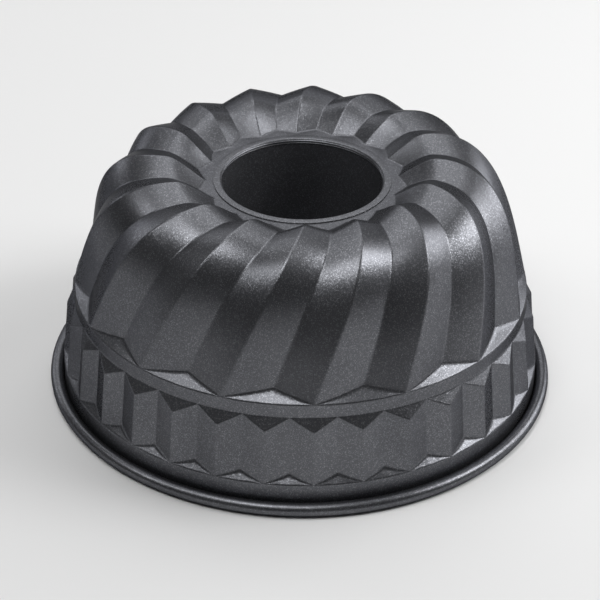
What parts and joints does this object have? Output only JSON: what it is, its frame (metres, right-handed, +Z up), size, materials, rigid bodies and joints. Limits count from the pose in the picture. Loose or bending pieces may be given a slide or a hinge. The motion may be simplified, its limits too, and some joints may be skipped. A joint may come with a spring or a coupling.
{
  "type": "ring cake mould",
  "caption": "Deep ring-cake mould with a swirled fluted dome, a pleated band, a rolled rim and an open centre tube; non-stick coated sheet steel, shown mouth down.",
  "frame": {"origin": "centre of the mouth plane, level with the underside of the rim that the mould stands on", "axes": "+Z up along the tube's axis, from the mouth to the deck; -Y towards the picture's camera"},
  "size_m": [0.233, 0.233, 0.1124],
  "materials": {
    "coated_body": "dark anthracite non-stick coating with fine metal flake, satin gloss",
    "coated_tube": "dark anthracite non-stick coating with fine metal flake, satin gloss"
  },
  "bodies": {
    "root": {"body_shell": "coated_body", "centre_tube": "coated_tube"}
  },
  "joints": []
}
